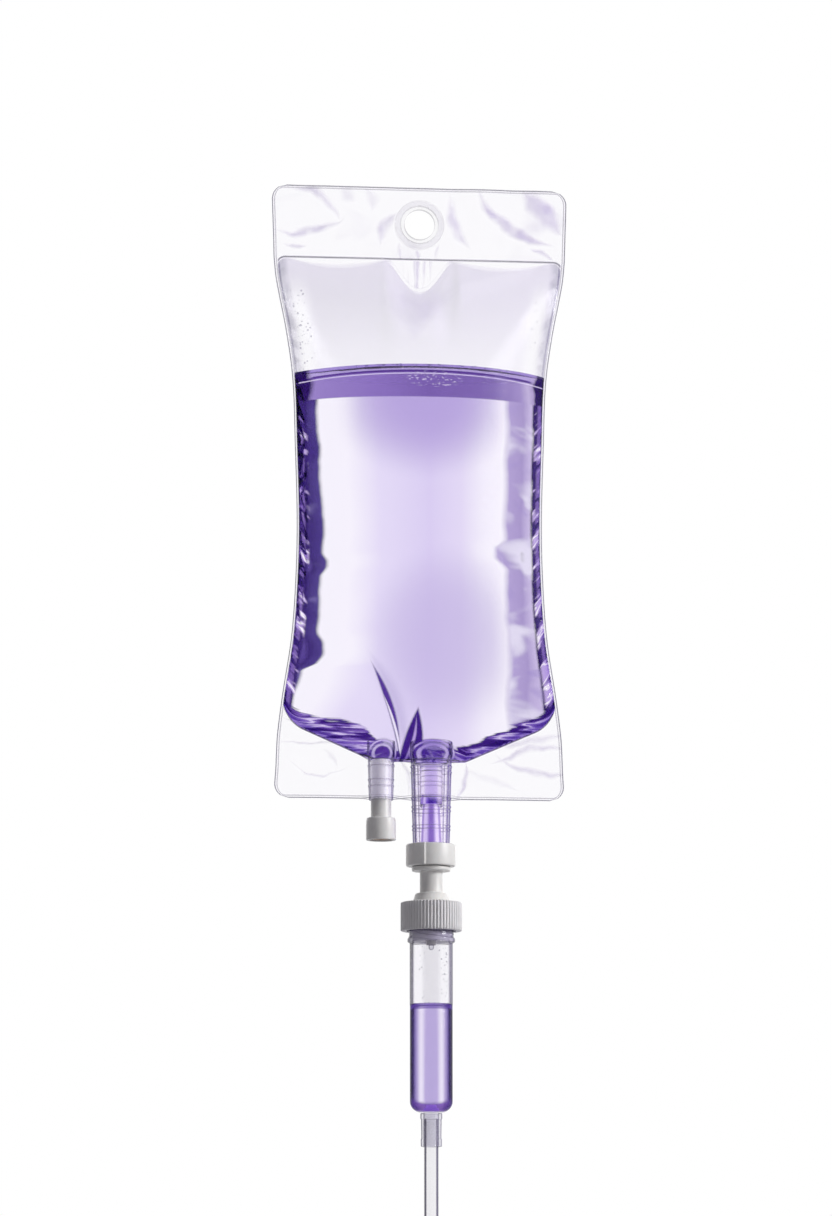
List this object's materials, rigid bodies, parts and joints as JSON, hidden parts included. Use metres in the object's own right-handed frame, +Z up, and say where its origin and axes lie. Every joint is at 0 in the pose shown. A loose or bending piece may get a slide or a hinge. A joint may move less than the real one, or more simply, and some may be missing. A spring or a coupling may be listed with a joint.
{
  "type": "iv fluid bag",
  "caption": "Hanging clear film bag of violet fluid with an injection port, a spiked outlet port, a drip chamber with a ribbed screw ring, and a coiled line with roller clamp.",
  "frame": {"origin": "centre of the eyelet hole that the bag hangs by", "axes": "+Z up, the bag hangs along -Z; the front face looks along -Y; +X to the right seen from the front"},
  "size_m": [0.1146, 0.0552, 0.6226],
  "materials": {
    "clear_film": "clear flexible film",
    "clear_rigid": "clear moulded plastic",
    "chamber_plastic": "clear moulded plastic",
    "line_plastic": "clear soft tubing",
    "violet_fluid": "clear violet fluid",
    "chamber_fluid": "clear pale violet fluid",
    "white_plastic": "satin white moulding",
    "ring_plastic": "satin pale grey moulding",
    "septum_rubber": "matte brown rubber",
    "gasket_rubber": "matte pale rubber"
  },
  "bodies": {
    "bag": {"front_film": "clear_film", "back_film": "clear_film", "eyelet_ring": "clear_rigid", "bag_fluid": "violet_fluid", "additive_port_tube": "clear_rigid", "injection_port_body": "white_plastic", "injection_septum": "septum_rubber", "outlet_port_tube": "clear_rigid", "membrane_tube": "clear_rigid", "port_membrane": "clear_film", "port_fluid": "violet_fluid", "port_collar": "white_plastic"},
    "spike": {"spike": "white_plastic", "chamber_gasket": "gasket_rubber"},
    "ring": {"ribbed_ring": "ring_plastic"},
    "chamber": {"drip_chamber": "chamber_plastic", "chamber_fluid": "chamber_fluid", "chamber_filter": "white_plastic", "outlet_sleeve": "chamber_plastic", "line_tube": "line_plastic", "line_tail": "line_plastic", "line_coil": "line_plastic", "coil_tie": "white_plastic", "clamp_housing": "white_plastic", "line_connector": "clear_rigid"},
    "roller": {"clamp_roller": "white_plastic"},
    "lock": {"connector_collar": "white_plastic"},
    "cap": {"connector_cap": "white_plastic"}
  },
  "joints": [
    {"name": "spike_pull", "type": "slide", "parent": "bag", "child": "spike", "axis": [0, 0, -1], "range_m": [0, 0.034]},
    {"name": "ring_turn", "type": "hinge", "parent": "spike", "child": "ring", "pos_m": [0.0046, 0, -0.2762], "axis": [0, 0, 1], "range_deg": [0, 720]},
    {"name": "chamber_drop", "type": "slide", "parent": "spike", "child": "chamber", "axis": [0, 0, -1], "range_m": [0, 0.005]},
    {"name": "roller_travel", "type": "slide", "parent": "chamber", "child": "roller", "axis": [0, 0.0872, -0.9962], "range_m": [0, 0.022]},
    {"name": "lock_spin", "type": "hinge", "parent": "chamber", "child": "lock", "pos_m": [0.0462, 0, -0.583], "axis": [0, 0, 1], "continuous": true},
    {"name": "cap_pull", "type": "slide", "parent": "chamber", "child": "cap", "axis": [0, 0, -1], "range_m": [0, 0.018]}
  ],
  "couplings": [
    {"joint": "ring_turn", "follows": "chamber_drop", "rad_per_m": 2513.3}
  ]
}
